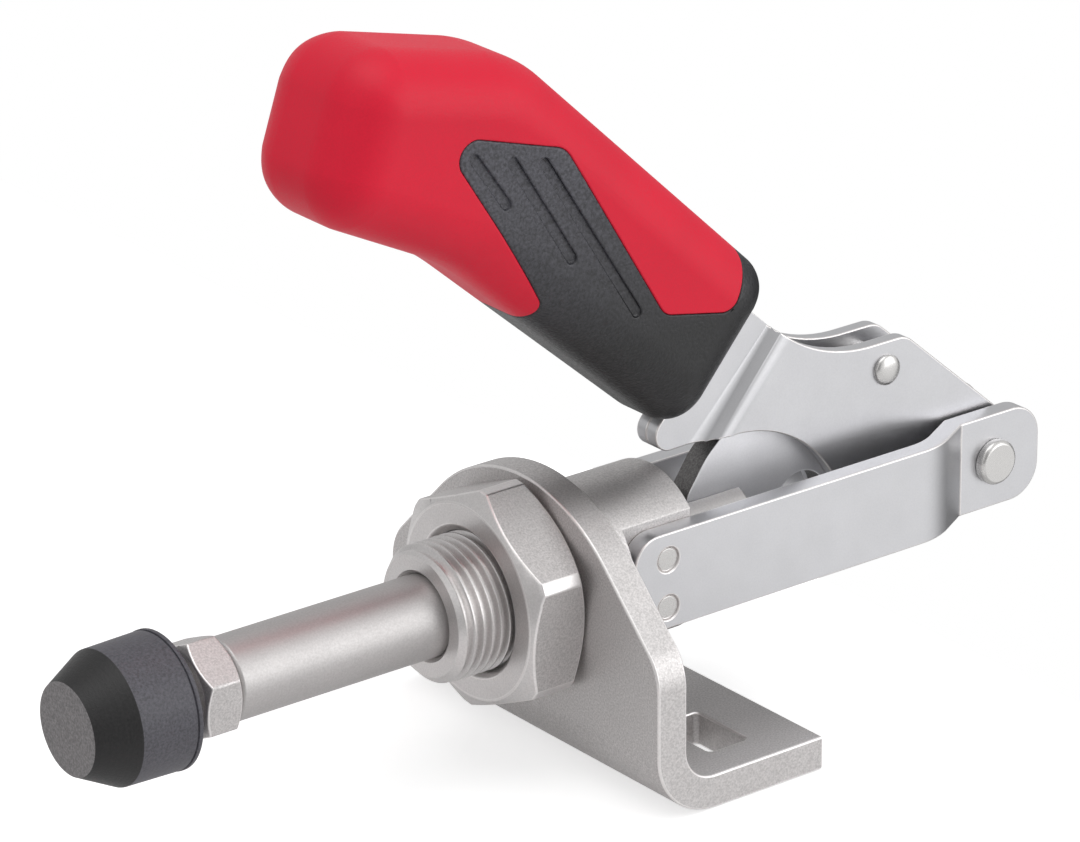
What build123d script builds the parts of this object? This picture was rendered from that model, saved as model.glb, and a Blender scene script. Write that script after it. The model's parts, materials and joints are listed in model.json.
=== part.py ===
"""Push-pull toggle clamp with an angle bracket, a sliding plunger and a two-colour grip.

Millimetres, +Z up. The plunger pushes along +X. The origin is midway between the two
base slots, on the underside of the bracket. The clamp stands in its extended dead centre.
"""

from build123d import *
from math import asin, cos, degrees, pi, radians, sin, sqrt, tan
import os

os.makedirs("parts", exist_ok=True)

# Fits between the pieces
run_gap = 0.05           # radial gap of a turning or sliding fit
rest_gap = 0.02          # gap of pieces that are pressed or riveted together
side_gap = 0.15          # gap on each side of a plate that swings beside another

# Plunger line
axis_height = 26.0       # plunger axis above the underside of the bracket
plunger_d = 12.0
plunger_front_x = 68.9
plunger_tail = 5.0       # plunger pin to the rear end of the plunger
plunger_edge = 0.4
drill_angle = 30.0       # slope of the bottom of the screw's bore

# Toggle linkage: the three pins lie in one line at rest
pivot_x = -64.0          # fixed pin of the handle
crank_length = 16.0      # fixed pin to toggle pin
link_length = 32.5       # toggle pin to plunger pin
link_t = 4.0
toggle_pin_d = 6.0
pivot_pin_d = 6.0
clevis_pin_d = 5.0
clevis_side = 0.2        # gap on each side of the link in the slot of the plunger
clevis_eye_r = 5.5
slot_lead = 3.6          # free room ahead of the link's eye in the slot of the plunger

# Toggle link: its eyes, its notch for the fixed pin, and its arched top
link_eye_r = 6.5
notch_wall = 1.7         # gap between the notch and the fixed pin
stop_clear = 0.8         # gap below the stop rivet
link_shoulder = (-5.2, 10.4)
link_crest_rise = 2.6
link_brow = (-4.6, 16.6)
link_cheek = (1.2, 11.3)
link_chin = (4.6, 6.4)
link_corner_r = 5.0
link_chin_r = 4.0
link_crest_r = 20.0
link_cheek_r = 12.0

# Angle bracket
plate_t = 5.0
bracket_front_x = 17.5
bracket_width = 61.4
base_rear_x = -12.1
bend_inner_r = 5.0
lobe_r = 26.7
lobe_centre_z = 16.0
shoulder_angle = 45.0
shoulder_r = 8.0
slot_size_x = 6.9
slot_size_y = 11.4
slot_spacing = 37.8
slot_corner_r = 0.8

# Guide body: a turned sleeve with two flats behind and a fine thread in front
thread_d = 20.0
thread_front_x = 35.0
thread_edge = 1.2
sleeve_d = 25.0
sleeve_rear_x = -5.6
flat_half = 9.2
mouth_edge = 0.6

# Hexagon nut on the guide body
nut_wall = 5.0           # thread to flat
nut_t = 9.5
nut_turn = 22.8
nut_sides = 6
nut_face_share = 0.95
nut_chamfer_angle = 30.0
nut_corner_share = 0.037 # rounding of the corners against the flats
nut_lead_share = 0.05    # countersink of the bore against the bore

# Side plates
side_t = 3.0
side_height = 14.6
side_front_x = 6.7
side_front_r = 4.2
ear_half = 8.0           # outer face of an ear from the middle plane
ear_bend = 6.4           # fixed pin to the foot of the set
ear_tail = 9.0           # fixed pin to the rear end of an ear
ear_corner_r = 5.2
side_bend = 14.0         # fixed pin to the start of the set
side_bend_r = 10.0
rivet_x = 0.8
rivet_drop = 0.4         # middle of each pair below the plunger axis
rivet_offset_z = 3.65
rivet_d = 3.3
rivet_depth = 2.9
rivet_recess = 0.2
rivet_ring = 0.25

# Rear pivot pin
pivot_head_d = 6.9
pivot_head_t = 1.6
pivot_head_edge = 0.5

# Handle plates, placed from the fixed pin
handle_t = 2.2
grip_angle = 41.0        # grip direction above the push direction
eye_r = 7.4
heel_height = 22.1
heel_r = 4.0
throat_start = 20.0
throat_mid = (30.0, 23.75)
throat_end = (38.8, 29.2)
arch_r = 21.8
arch_centre = (46.8, -7.0)
arch_front = 50.5
arch_turn = 140.0        # direction of a middle point of the arch
joggle_start = 46.2
joggle_end = 48.4
stop_at = (18.0, 17.8)
stop_d = 4.8
stop_shank_d = 4.0
stop_head_d = 4.7
stop_head_t = 1.1
stop_head_edge = 0.7

# Hand stop at the front of the handle plates, and the tang inside the grip
# These are (along, across) the grip direction from the fixed pin
stop_nose = (56.3, -30.1)
nose_r = 2.6
tang_front = 103.2
tang_top = -3.2
tang_low = -17.4
tang_r = 3.0

# Grip
grip_start = 55.8
collar_low = -24.2
collar_top = 1.9
belly_bend = (108.5, -24.1)
chin = (133.9, -30.6)
brow = (142.6, -8.8)
back_bend = (117.2, 4.4)
collar_r = 4.5
belly_r = 43.0
chin_r = 7.7
brow_r = 8.2
back_r = 21.0
collar_half = 10.7
head_half = 11.9
grip_edge_r = 8.2

# Hard inlay seen on both sides of the grip, again (along, across)
inlay_tongue = (92.9, -21.4)
inlay_heel = (91.4, -25.9)
inlay_tip = (122.3, -12.9)
inlay_tip_top = (120.7, -9.1)
inlay_shoulder = (106.0, -2.5)
inlay_valley = (74.4, -12.5)
inlay_crest = (63.6, -6.5)
inlay_neck = (64.0, -1.4)
inlay_back = (64.3, 8.7)
inlay_under = (89.0, -33.2)
inlay_tip_r = 2.5
inlay_bend_r = 3.0
inlay_shoulder_r = 4.0
groove_depth = 0.6
grooves = [
    ((118.8, -11.3), (109.9, -13.5), 1.5),
    ((112.7, -8.5), (94.8, -14.0), 1.6),
    ((107.9, -5.9), (79.3, -14.5), 1.5),
]

# Lock nut, pressure screw and rubber cap at the front end
screw_d = 8.0
lock_wall = 2.5          # thread to flat
lock_t = 5.9
lock_gap = 0.3
lock_turn = 22.8
screw_length = 29.0      # shank behind the cap
screw_bore_depth = 30.0
cap_gap = 2.9            # bare shank between the lock nut and the cap
cap_r = 9.8
cap_cone_r = 9.6
cap_face_r = 6.6
cap_length = 15.1
cap_cone_length = 5.8
cap_wall = 2.4
cap_lip = 0.3
cap_lip_length = 1.0
screw_head_r = 6.5
screw_head_t = 6.0

# Worked-out places
plunger_r = plunger_d / 2
pivot = Vector(pivot_x, 0, axis_height)
toggle_x = pivot_x + crank_length
clevis_x = toggle_x + link_length
plunger_rear_x = clevis_x - plunger_tail
ear_bend_x = pivot_x + ear_bend
side_bend_x = pivot_x + side_bend
clevis_slot = link_t + 2 * clevis_side
slot_front_x = clevis_x + clevis_eye_r + slot_lead
handle_gap = link_t / 2 + side_gap
handle_half = handle_gap + handle_t
ear_inner = ear_half - side_t
side_outer = flat_half + side_t
bracket_rear_x = bracket_front_x - plate_t
grip_dir = Vector(cos(radians(grip_angle)), 0, sin(radians(grip_angle)))
grip_across = Vector(-sin(radians(grip_angle)), 0, cos(radians(grip_angle)))
grip_plane = Plane(origin=pivot, x_dir=grip_dir, z_dir=grip_across)
lock_rear_x = plunger_front_x + lock_gap
lock_front_x = lock_rear_x + lock_t
cap_rear_x = lock_front_x + cap_gap
cap_front_x = cap_rear_x + cap_length


def save(name, solid):
    """Write one piece under its own name."""
    solid.label = name
    export_step(solid, "parts/" + name + ".step")


def across(face, y_low, y_high):
    """Extrude a side-view face, drawn in (x, z), from one distance off the middle plane to another."""
    return extrude(Plane.XZ.offset(-y_low) * face, amount=-(y_high - y_low))


def turned(points):
    """Revolve an outline of (x, radius) about the plunger axis."""
    return Pos(0, 0, axis_height) * revolve(make_face(Polyline(*points, close=True)), Axis.X)


def cross_pin(x, z, radius, y_low, y_high):
    """A plain pin that runs across the clamp."""
    return across(Pos(x, z) * Circle(radius), y_low, y_high)


def on_grip(along_across):
    """Turn (along, across) the grip direction into side-view (x, z)."""
    along, over = along_across
    point = pivot + grip_dir * along + grip_across * over
    return (point.X, point.Z)


def from_pivot(offset):
    """Turn an offset from the fixed pin into side-view (x, z)."""
    return (pivot_x + offset[0], axis_height + offset[1])


def nearest(face, point):
    """The vertex of a flat face that lies nearest to a point."""
    return face.vertices().sort_by_distance((point[0], point[1], 0))[0]


def rounded(points, radii):
    """A polygon whose corners are rounded one by one; a radius of 0 leaves the corner sharp."""
    face = make_face(Polyline(*points, close=True))
    for point, radius in zip(points, radii):
        if radius > 0:
            face = fillet(nearest(face, point), radius)
    return face


def hex_prism(flats, turn, x_start, length):
    """A hexagon bar along the plunger axis, its long edges a little rounded."""
    outline = RegularPolygon(flats / 2, nut_sides, major_radius=False, rotation=turn)
    outline = fillet(outline.vertices(), nut_corner_share * flats)
    return extrude(Pos(x_start, 0, axis_height) * (Plane.YZ * outline), amount=length)


def angle_bracket():
    """One bent plate: a base flange with two slots and an upright with a round lobe."""
    top = lobe_centre_z + lobe_r
    heel = (bracket_front_x, 0)
    inner = (bracket_rear_x, plate_t)
    profile = rounded(
        [(base_rear_x, 0), heel, (bracket_front_x, top), (bracket_rear_x, top), inner, (base_rear_x, plate_t)],
        [0, bend_inner_r + plate_t, 0, 0, bend_inner_r, 0],
    )
    bent = across(profile, -bracket_width / 2, bracket_width / 2)
    slope = radians(shoulder_angle)
    tangent_y = lobe_r * sin(slope)
    tangent_z = lobe_centre_z + lobe_r * cos(slope)
    half = bracket_width / 2
    shoulder_z = tangent_z - (half - tangent_y) * tan(slope)
    edges = Polyline((-tangent_y, tangent_z), (-half, shoulder_z), (-half, 0), (half, 0),
                     (half, shoulder_z), (tangent_y, tangent_z))
    edges += ThreePointArc((tangent_y, tangent_z), (0, top), (-tangent_y, tangent_z))
    front = make_face(edges)
    for side in (-1, 1):
        front = fillet(nearest(front, (side * half, shoulder_z)), shoulder_r)
    upright = extrude(Plane.YZ * front, amount=bracket_front_x - base_rear_x, both=True)
    bracket = bent & upright
    for side in (-1, 1):
        slot = RectangleRounded(slot_size_x, slot_size_y, slot_corner_r)
        bracket -= Pos(0, side * slot_spacing / 2, 0) * extrude(slot, amount=2 * plate_t, both=True)
    hole_r = thread_d / 2 + run_gap
    bracket -= turned([(0, 0), (2 * bracket_front_x, 0), (2 * bracket_front_x, hole_r), (0, hole_r)])
    return bracket


def guide_body():
    """The sleeve that carries the plunger: flats behind, a shoulder, then the thread."""
    bore_r = plunger_r + run_gap
    sleeve_r = sleeve_d / 2
    thread_r = thread_d / 2
    body = turned([
        (sleeve_rear_x, bore_r),
        (sleeve_rear_x, sleeve_r),
        (bracket_rear_x, sleeve_r),
        (bracket_rear_x, thread_r),
        (thread_front_x - thread_edge, thread_r),
        (thread_front_x, thread_r - thread_edge),
        (thread_front_x, bore_r + mouth_edge),
        (thread_front_x - mouth_edge, bore_r),
    ])
    flat_length = side_front_x + rest_gap - sleeve_rear_x
    for side in (-1, 1):
        cut = Box(flat_length, sleeve_r, sleeve_d, align=(Align.MIN, Align.CENTER, Align.CENTER))
        body -= Pos(sleeve_rear_x, side * (flat_half + sleeve_r / 2), axis_height) * cut
        for end in (-1, 1):
            z = axis_height - rivet_drop + end * rivet_offset_z
            inner = flat_half - rivet_depth
            body -= cross_pin(rivet_x, z, rivet_d / 2 + rest_gap, *sorted((side * inner, side * side_outer)))
    return body


def hexagon_nut(flats, thickness, turn, x_rear, bore_d):
    """A hexagon nut with its corners turned off at both faces."""
    face_r = nut_face_share * flats / 2
    corner_r = flats / 2 / cos(pi / nut_sides)
    run = (corner_r - face_r) * tan(radians(nut_chamfer_angle))
    x_front = x_rear + thickness
    dome = turned([(x_rear, 0), (x_rear, face_r), (x_rear + run, corner_r),
                   (x_front - run, corner_r), (x_front, face_r), (x_front, 0)])
    nut = hex_prism(flats, turn, x_rear, thickness) & dome
    bore_r = bore_d / 2 + run_gap
    lead = nut_lead_share * bore_d
    nut -= turned([(x_rear, 0), (x_rear, bore_r + lead), (x_rear + lead, bore_r),
                   (x_front - lead, bore_r), (x_front, bore_r + lead), (x_front, 0)])
    return nut


def side_plate(side):
    """A long flat plate that is set inwards at the rear to form one ear."""
    rear_x = pivot_x - ear_tail
    joggle = asin((side_outer - ear_half) / sqrt((side_bend_x - ear_bend_x) ** 2 + (side_outer - ear_half) ** 2))
    shift = side_t * tan(joggle / 2)
    points = [
        (side_front_x, side_outer),
        (side_bend_x, side_outer),
        (ear_bend_x, ear_half),
        (rear_x, ear_half),
        (rear_x, ear_inner),
        (ear_bend_x + shift, ear_inner),
        (side_bend_x + shift, flat_half),
        (side_front_x, flat_half),
    ]
    plan = rounded(points, [0, side_bend_r + side_t, 0, 0, 0, 0, side_bend_r, 0])
    if side < 0:
        plan = mirror(plan, Plane.XZ)
    bar = extrude(Pos(0, 0, axis_height) * plan, amount=side_height / 2, both=True)
    low = axis_height - side_height / 2
    high = axis_height + side_height / 2
    outline = rounded([(rear_x, low), (side_front_x, low), (side_front_x, high), (rear_x, high)],
                      [ear_corner_r, side_front_r, side_front_r, ear_corner_r])
    plate = bar & across(outline, -side_outer, side_outer)
    hole_r = pivot_pin_d / 2 + rest_gap
    plate -= cross_pin(pivot_x, axis_height, hole_r, -side_outer, side_outer)
    for end in (-1, 1):
        z = axis_height - rivet_drop + end * rivet_offset_z
        plate -= cross_pin(rivet_x, z, rivet_d / 2 + rest_gap, -side_outer, side_outer)
        ring = sorted((side * side_outer, side * (side_outer - 2 * rivet_ring)))
        plate -= cross_pin(rivet_x, z, rivet_d / 2 + rivet_ring, *ring)
    return plate


def guide_rivet(side, end):
    """A short flush rivet that holds a side plate to the guide body."""
    z = axis_height - rivet_drop + end * rivet_offset_z
    outer = side_outer - rivet_recess
    inner = flat_half - rivet_depth + rest_gap
    return cross_pin(rivet_x, z, rivet_d / 2, *sorted((side * inner, side * outer)))


def rear_pivot_pin():
    """The pin through both ears, with a flat round head at each end."""
    ear = ear_half + rest_gap
    pin = cross_pin(pivot_x, axis_height, pivot_pin_d / 2, -ear, ear)
    for side in (-1, 1):
        head = cross_pin(pivot_x, axis_height, pivot_head_d / 2, *sorted((side * ear, side * (ear + pivot_head_t))))
        rim = head.edges().filter_by(GeomType.CIRCLE).sort_by(Axis.Y)[-1 if side > 0 else 0]
        pin += chamfer(rim, pivot_head_edge)
    return pin


def handle_outline():
    """Side view of a handle plate: eye, heel, throat, tang, hand stop and arch."""
    heel_x = (heel_height * cos(radians(grip_angle)) - eye_r) / sin(radians(grip_angle))
    slant = on_grip((0, eye_r))
    heel = from_pivot((heel_x, heel_height))
    throat = from_pivot((throat_start, heel_height))
    throat_top = from_pivot(throat_end)
    arch_z = arch_centre[1]
    arch_top = (arch_front, arch_z + sqrt(arch_r ** 2 - (arch_front - arch_centre[0]) ** 2))
    arch_foot = (arch_centre[0] - sqrt(arch_r ** 2 - arch_z ** 2), 0)
    turn = radians(arch_turn)
    arch_mid = (arch_centre[0] + arch_r * cos(turn), arch_z + arch_r * sin(turn))
    nose = on_grip(stop_nose)
    edges = Polyline(from_pivot((0, -eye_r / 2)), slant, heel, throat)
    edges += ThreePointArc(throat, from_pivot(throat_mid), throat_top)
    edges += Polyline(throat_top, on_grip((grip_start, tang_top)), on_grip((tang_front, tang_top)),
                      on_grip((tang_front, tang_low)), on_grip((stop_nose[0], tang_low)), nose, from_pivot(arch_top))
    edges += ThreePointArc(from_pivot(arch_top), from_pivot(arch_mid), from_pivot(arch_foot))
    edges += Polyline(from_pivot(arch_foot), from_pivot((crank_length, -eye_r / 2)), from_pivot((0, -eye_r / 2)))
    face = make_face(edges)
    for point, radius in ((heel, heel_r), (nose, nose_r),
                          (on_grip((tang_front, tang_top)), tang_r), (on_grip((tang_front, tang_low)), tang_r)):
        face = fillet(nearest(face, point), radius)
    eyes = Pos(pivot_x + crank_length / 2, axis_height) * SlotCenterToCenter(crank_length, 2 * eye_r)
    return face + eyes


def handle_plate(side):
    """One half of the handle: flat against its twin in the grip, set apart at the linkage."""
    low = -2 * eye_r
    points = [(low, handle_gap), (joggle_start, handle_gap), (joggle_end, 0), (2 * tang_front, 0),
              (2 * tang_front, handle_t), (joggle_end, handle_t), (joggle_start, handle_half), (low, handle_half)]
    ribbon = make_face(Polyline(*[(along, side * y) for along, y in points], close=True))
    plate = across(handle_outline(), -handle_half, handle_half) & extrude(grip_plane * ribbon, amount=tang_front, both=True)
    plate -= cross_pin(pivot_x, axis_height, pivot_pin_d / 2 + run_gap, -handle_half, handle_half)
    plate -= cross_pin(toggle_x, axis_height, toggle_pin_d / 2 + rest_gap, -handle_half, handle_half)
    plate -= cross_pin(*from_pivot(stop_at), stop_shank_d / 2 + rest_gap, -handle_half, handle_half)
    return plate


def toggle_pin():
    """The pin that joins the handle plates and the link, riveted flush."""
    return cross_pin(toggle_x, axis_height, toggle_pin_d / 2, -handle_half, handle_half)


def stop_rivet():
    """A shouldered rivet between the handle plates with a bevelled head outside each of them."""
    x, z = from_pivot(stop_at)
    shoulder = handle_gap - rest_gap
    rivet = cross_pin(x, z, stop_d / 2, -shoulder, shoulder)
    face = handle_half + rest_gap
    rivet += cross_pin(x, z, stop_shank_d / 2, -face, face)
    for side in (-1, 1):
        head = cross_pin(x, z, stop_head_d / 2, *sorted((side * face, side * (face + stop_head_t))))
        rim = head.edges().filter_by(GeomType.CIRCLE).sort_by(Axis.Y)[-1 if side > 0 else 0]
        rivet += chamfer(rim, stop_head_edge)
    return rivet


def toggle_link():
    """A thick flat link, arched so that the fixed pin can pass beneath it."""
    toggle = (toggle_x, axis_height)
    clevis = (clevis_x, axis_height)
    notch_x = toggle_x + crank_length
    notch_r = pivot_pin_d / 2 + notch_wall
    stop_x, stop_z = from_pivot(stop_at)
    roof_z = stop_z - stop_d / 2 - stop_clear
    body = rounded([
        (toggle_x - link_eye_r, axis_height),
        (toggle_x + link_shoulder[0], axis_height + link_shoulder[1]),
        (toggle_x, roof_z),
        (stop_x + stop_d, roof_z),
        (notch_x, roof_z + link_crest_rise),
        (clevis_x + link_brow[0], axis_height + link_brow[1]),
        (clevis_x + link_cheek[0], axis_height + link_cheek[1]),
        (clevis_x + link_chin[0], axis_height + link_chin[1]),
        (clevis_x + clevis_eye_r, axis_height),
    ], [0, link_corner_r, link_corner_r, link_crest_r, link_crest_r, link_corner_r, link_cheek_r, link_chin_r, 0])
    body += Pos(*toggle) * Circle(link_eye_r)
    body += Pos(*clevis) * Circle(clevis_eye_r)
    inner = crank_length - notch_r
    outer = crank_length + notch_r
    ring = Pos(*toggle) * (Circle(outer) - Circle(inner))
    below = Pos(toggle_x, axis_height) * Rectangle(2 * outer, outer, align=(Align.CENTER, Align.MAX))
    body -= ring & below
    body -= Pos(notch_x, axis_height) * Circle(notch_r)
    body -= Pos(*toggle) * Circle(toggle_pin_d / 2 + run_gap)
    body -= Pos(*clevis) * Circle(clevis_pin_d / 2 + run_gap)
    return across(body, -link_t / 2, link_t / 2)


def plunger_rod():
    """The round plunger, slotted behind for the link and bored in front for the screw."""
    r = plunger_r
    bore_r = screw_d / 2 + run_gap
    bore_rear = plunger_front_x - screw_bore_depth
    rod = turned([
        (plunger_rear_x, 0),
        (plunger_rear_x, r - plunger_edge),
        (plunger_rear_x + plunger_edge, r),
        (plunger_front_x - plunger_edge, r),
        (plunger_front_x, r - plunger_edge),
        (plunger_front_x, bore_r),
        (bore_rear, bore_r),
        (bore_rear - bore_r * tan(radians(drill_angle)), 0),
    ])
    slot_length = slot_front_x - plunger_rear_x
    slot = Box(slot_length, clevis_slot, 2 * plunger_d, align=(Align.MAX, Align.CENTER, Align.CENTER))
    rod -= Pos(slot_front_x, 0, axis_height) * slot
    rod -= cross_pin(clevis_x, axis_height, clevis_pin_d / 2 + rest_gap, -plunger_d, plunger_d)
    return rod


def clevis_stud(side):
    """One end of the plunger pin, held in a cheek of the slot and dressed to the round of the rod."""
    inner = clevis_slot / 2
    stud = cross_pin(clevis_x, axis_height, clevis_pin_d / 2, *sorted((side * inner, side * plunger_r)))
    round_bar = turned([(plunger_rear_x, 0), (plunger_rear_x, plunger_r - rest_gap),
                        (sleeve_rear_x, plunger_r - rest_gap), (sleeve_rear_x, 0)])
    return stud & round_bar


def pressure_screw():
    """The adjustable screw: a shank in the plunger and a round head inside the cap."""
    r = screw_d / 2
    head_rear = cap_rear_x + cap_wall + run_gap
    tail = head_rear - cap_wall - screw_length
    return turned([
        (tail, 0),
        (tail, r - plunger_edge),
        (tail + plunger_edge, r),
        (head_rear, r),
        (head_rear, screw_head_r),
        (head_rear + screw_head_t, screw_head_r),
        (head_rear + screw_head_t, 0),
    ])


def rubber_cap():
    """The soft pressure cap, hollow where it holds the head of the screw."""
    neck_r = screw_d / 2 + run_gap
    hollow_r = screw_head_r + run_gap
    hollow_rear = cap_rear_x + cap_wall
    hollow_front = hollow_rear + screw_head_t + 2 * run_gap
    cone_x = cap_front_x - cap_cone_length
    return turned([
        (cap_rear_x, neck_r),
        (cap_rear_x, cap_r + cap_lip),
        (cap_rear_x + cap_lip_length, cap_r + cap_lip),
        (cap_rear_x + cap_lip_length, cap_r),
        (cone_x, cap_cone_r),
        (cap_front_x, cap_face_r),
        (cap_front_x, 0),
        (hollow_front, 0),
        (hollow_front, hollow_r),
        (hollow_rear, hollow_r),
        (hollow_rear, neck_r),
    ])


def grip_shape():
    """The whole outer form of the grip, before it is parted into its two plastics."""
    corners = [(grip_start, collar_low), belly_bend, chin, brow, back_bend, (grip_start, collar_top)]
    radii = [collar_r, belly_r, chin_r, brow_r, back_r, collar_r]
    side_view = rounded([on_grip(corner) for corner in corners], radii)
    far = 2 * brow[0]
    spread = (head_half - collar_half) / (brow[0] - grip_start)
    far_half = collar_half + spread * (far - grip_start)
    near_half = collar_half - spread * grip_start
    plan = make_face(Polyline((0, -near_half), (far, -far_half), (far, far_half), (0, near_half), close=True))
    body = across(side_view, -2 * head_half, 2 * head_half) & extrude(grip_plane * plan, amount=far, both=True)
    for pick in (0, -1):
        side = body.faces().sort_by(Axis.Y)[pick]
        body = fillet(side.edges(), grip_edge_r)
    return body


def inlay_prism():
    """The side view of the hard plastic, run through the whole width of the grip."""
    points = [inlay_under, inlay_heel, inlay_tongue, inlay_tip, inlay_tip_top, inlay_shoulder,
              inlay_valley, inlay_crest, inlay_neck, inlay_back, (0, inlay_back[1]), (0, inlay_under[1])]
    radii = [0, inlay_bend_r, inlay_bend_r, inlay_tip_r, inlay_tip_r, inlay_shoulder_r,
             inlay_bend_r, inlay_bend_r, inlay_bend_r, 0, 0, 0]
    return across(rounded([on_grip(point) for point in points], radii), -2 * head_half, 2 * head_half)


def grip_groove(start, end, width, side):
    """A shallow slot with round ends in the face of the inlay."""
    a = on_grip(start)
    b = on_grip(end)
    slot = SlotCenterToCenter(sqrt((b[0] - a[0]) ** 2 + (b[1] - a[1]) ** 2), width)
    angle = degrees(asin((b[1] - a[1]) / sqrt((b[0] - a[0]) ** 2 + (b[1] - a[1]) ** 2)))
    if b[0] < a[0]:
        angle = 180 - angle
    middle = Pos((a[0] + b[0]) / 2, (a[1] + b[1]) / 2)
    mean_along = (start[0] + end[0]) / 2
    half = collar_half + (head_half - collar_half) * (mean_along - grip_start) / (brow[0] - grip_start)
    floor = half - groove_depth
    return across(middle * Rot(0, 0, angle) * slot, *sorted((side * floor, side * 2 * head_half)))


save("mounting_bracket", angle_bracket())
save("guide_body", guide_body())
save("bracket_nut", hexagon_nut(thread_d + 2 * nut_wall, nut_t, nut_turn, bracket_front_x, thread_d))
save("rear_pivot_pin", rear_pivot_pin())
for name, side in (("left", 1), ("right", -1)):
    save("side_plate_" + name, side_plate(side))
    save("guide_rivet_" + name + "_upper", guide_rivet(side, 1))
    save("guide_rivet_" + name + "_lower", guide_rivet(side, -1))
    save("handle_plate_" + name, handle_plate(side))
    save("clevis_stud_" + name, clevis_stud(side))
save("toggle_pin", toggle_pin())
save("stop_rivet", stop_rivet())
save("toggle_link", toggle_link())
save("plunger_rod", plunger_rod())
save("lock_nut", hexagon_nut(screw_d + 2 * lock_wall, lock_t, lock_turn, lock_rear_x, screw_d))
save("pressure_screw", pressure_screw())
save("rubber_cap", rubber_cap())

whole_grip = grip_shape()
tang_pocket = across(handle_outline(), -handle_t, handle_t)
hard = inlay_prism()
core = (whole_grip & hard) - tang_pocket
for start, end, width in grooves:
    for side in (-1, 1):
        core -= grip_groove(start, end, width, side)
save("grip_core", core)
save("grip_cover", whole_grip - hard - tang_pocket)
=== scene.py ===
"""Push-pull toggle clamp: the finished look of its pieces around the fixed frame of solids.

Metres, +Z up. The plunger pushes along +X and +Y is the side that faces the camera.
"""

import json
import math

import bmesh
import bpy
from bpy.props import FloatProperty, FloatVectorProperty, IntProperty, PointerProperty
from mathutils import Matrix, Vector


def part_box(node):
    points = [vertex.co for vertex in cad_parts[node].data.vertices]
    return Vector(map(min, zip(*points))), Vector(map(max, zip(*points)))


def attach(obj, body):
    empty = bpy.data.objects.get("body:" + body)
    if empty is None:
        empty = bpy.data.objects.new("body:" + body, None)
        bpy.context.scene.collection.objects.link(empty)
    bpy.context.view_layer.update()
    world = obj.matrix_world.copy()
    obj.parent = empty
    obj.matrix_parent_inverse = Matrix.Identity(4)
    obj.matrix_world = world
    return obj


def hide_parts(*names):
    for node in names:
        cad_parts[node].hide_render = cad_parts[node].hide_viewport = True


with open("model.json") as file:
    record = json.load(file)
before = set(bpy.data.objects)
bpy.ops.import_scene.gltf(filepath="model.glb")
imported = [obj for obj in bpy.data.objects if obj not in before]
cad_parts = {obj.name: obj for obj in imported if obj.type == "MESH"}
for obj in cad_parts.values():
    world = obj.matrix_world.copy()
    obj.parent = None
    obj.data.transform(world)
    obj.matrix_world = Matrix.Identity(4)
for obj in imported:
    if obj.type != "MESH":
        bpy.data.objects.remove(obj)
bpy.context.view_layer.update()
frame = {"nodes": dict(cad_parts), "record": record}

bl_info = {
    "name": "Push-pull toggle clamp",
    "version": (1, 0, 0),
    "blender": (4, 5, 0),
    "location": "View3D > Sidebar > Toggle clamp",
    "description": "Dresses the pieces of a push-pull toggle clamp and sets the stage for it",
    "category": "Object",
}

MM = 0.001
MICRON = 1e-6

# Distances below which points count as one, or as lying at a place
WELD = 1 * MICRON
THREAD_WELD = 0.02 * MM     # where the turns of the swept thread meet
NUT_WELD = 0.15 * MM        # in the crowded corners of the large nut
AT_PLACE = 0.01 * MM
AT_CORNER = 0.1 * MM        # from the farthest point of a nut

# Angles between two faces
FLAT_ANGLE = math.radians(0.3)      # below it they are one flat face
BREAK_ANGLE = math.radians(24)      # above it their edge is broken
SHARP_ANGLE = math.radians(38)      # above it their edge shades as a sharp one
BEND_ANGLE = math.radians(8)        # above it they may meet in a bend

# Share of a face's normal that points
BEND_FACING = 0.35          # sideways, on the flats of a bent plate
LINK_FACING = 0.5           # sideways, on the flats of the link
NUT_TURNED = 0.6            # along the axis, on the turned ends of the large nut

DOME_STEPS = 7              # from the middle of a rivet's head to its rim
HEXAGON = 6

# Directions in which the room or the floor is brighter or darker, as reflections see them
BRIGHT_SIDE = (-0.60, 0.78, 0.15)
FRONT_SIDE = (0.62, 0.76, 0.15)
PUSH_SIDE = (0.86, 0.42, 0.28)
REAR_SIDE = (-0.90, -0.44, 0)
LOW_REAR = (-0.90, -0.20, -0.38)

WHITE = (1, 1, 1, 1)
FLOOR_SHADE = 0.80
FLOOR_LIFT = 0.59           # light that the floor adds to its own shade where the camera sees it
FLOOR_MIRROR = 0.2          # share of that which reflections see
FLOOR_DROP = 0.2 * MM       # the floor's depth below the bracket
FLOOR_FADE = 35 * MM        # the floor turns to plain white over this length before its end
FLOOR_SEGMENTS = 96

# Where the floor begins to dim in reflections, and where it is dimmest
AHEAD_OF_CAP = (85 * MM, 135 * MM)      # along X
TOWARD_REAR = (0.45, 0.95)              # by how far the way to a point leads to REAR_SIDE

LAMP_AIM = (0.01, 0, 0.045)
TOP_LAMP_PLACE = (0.10, 0.10, 0.90)
TOP_LAMP_SIZE = 0.8
SIDE_LAMP_PLACE = (-0.50, 0.65, 0.30)
SIDE_LAMP_SIZE = 0.7

SENSOR_WIDTH = 36           # of the camera, in millimetres
CLIP_START = 0.05
CLIP_END = 20


# ---------------------------------------------------------------- settings

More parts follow.
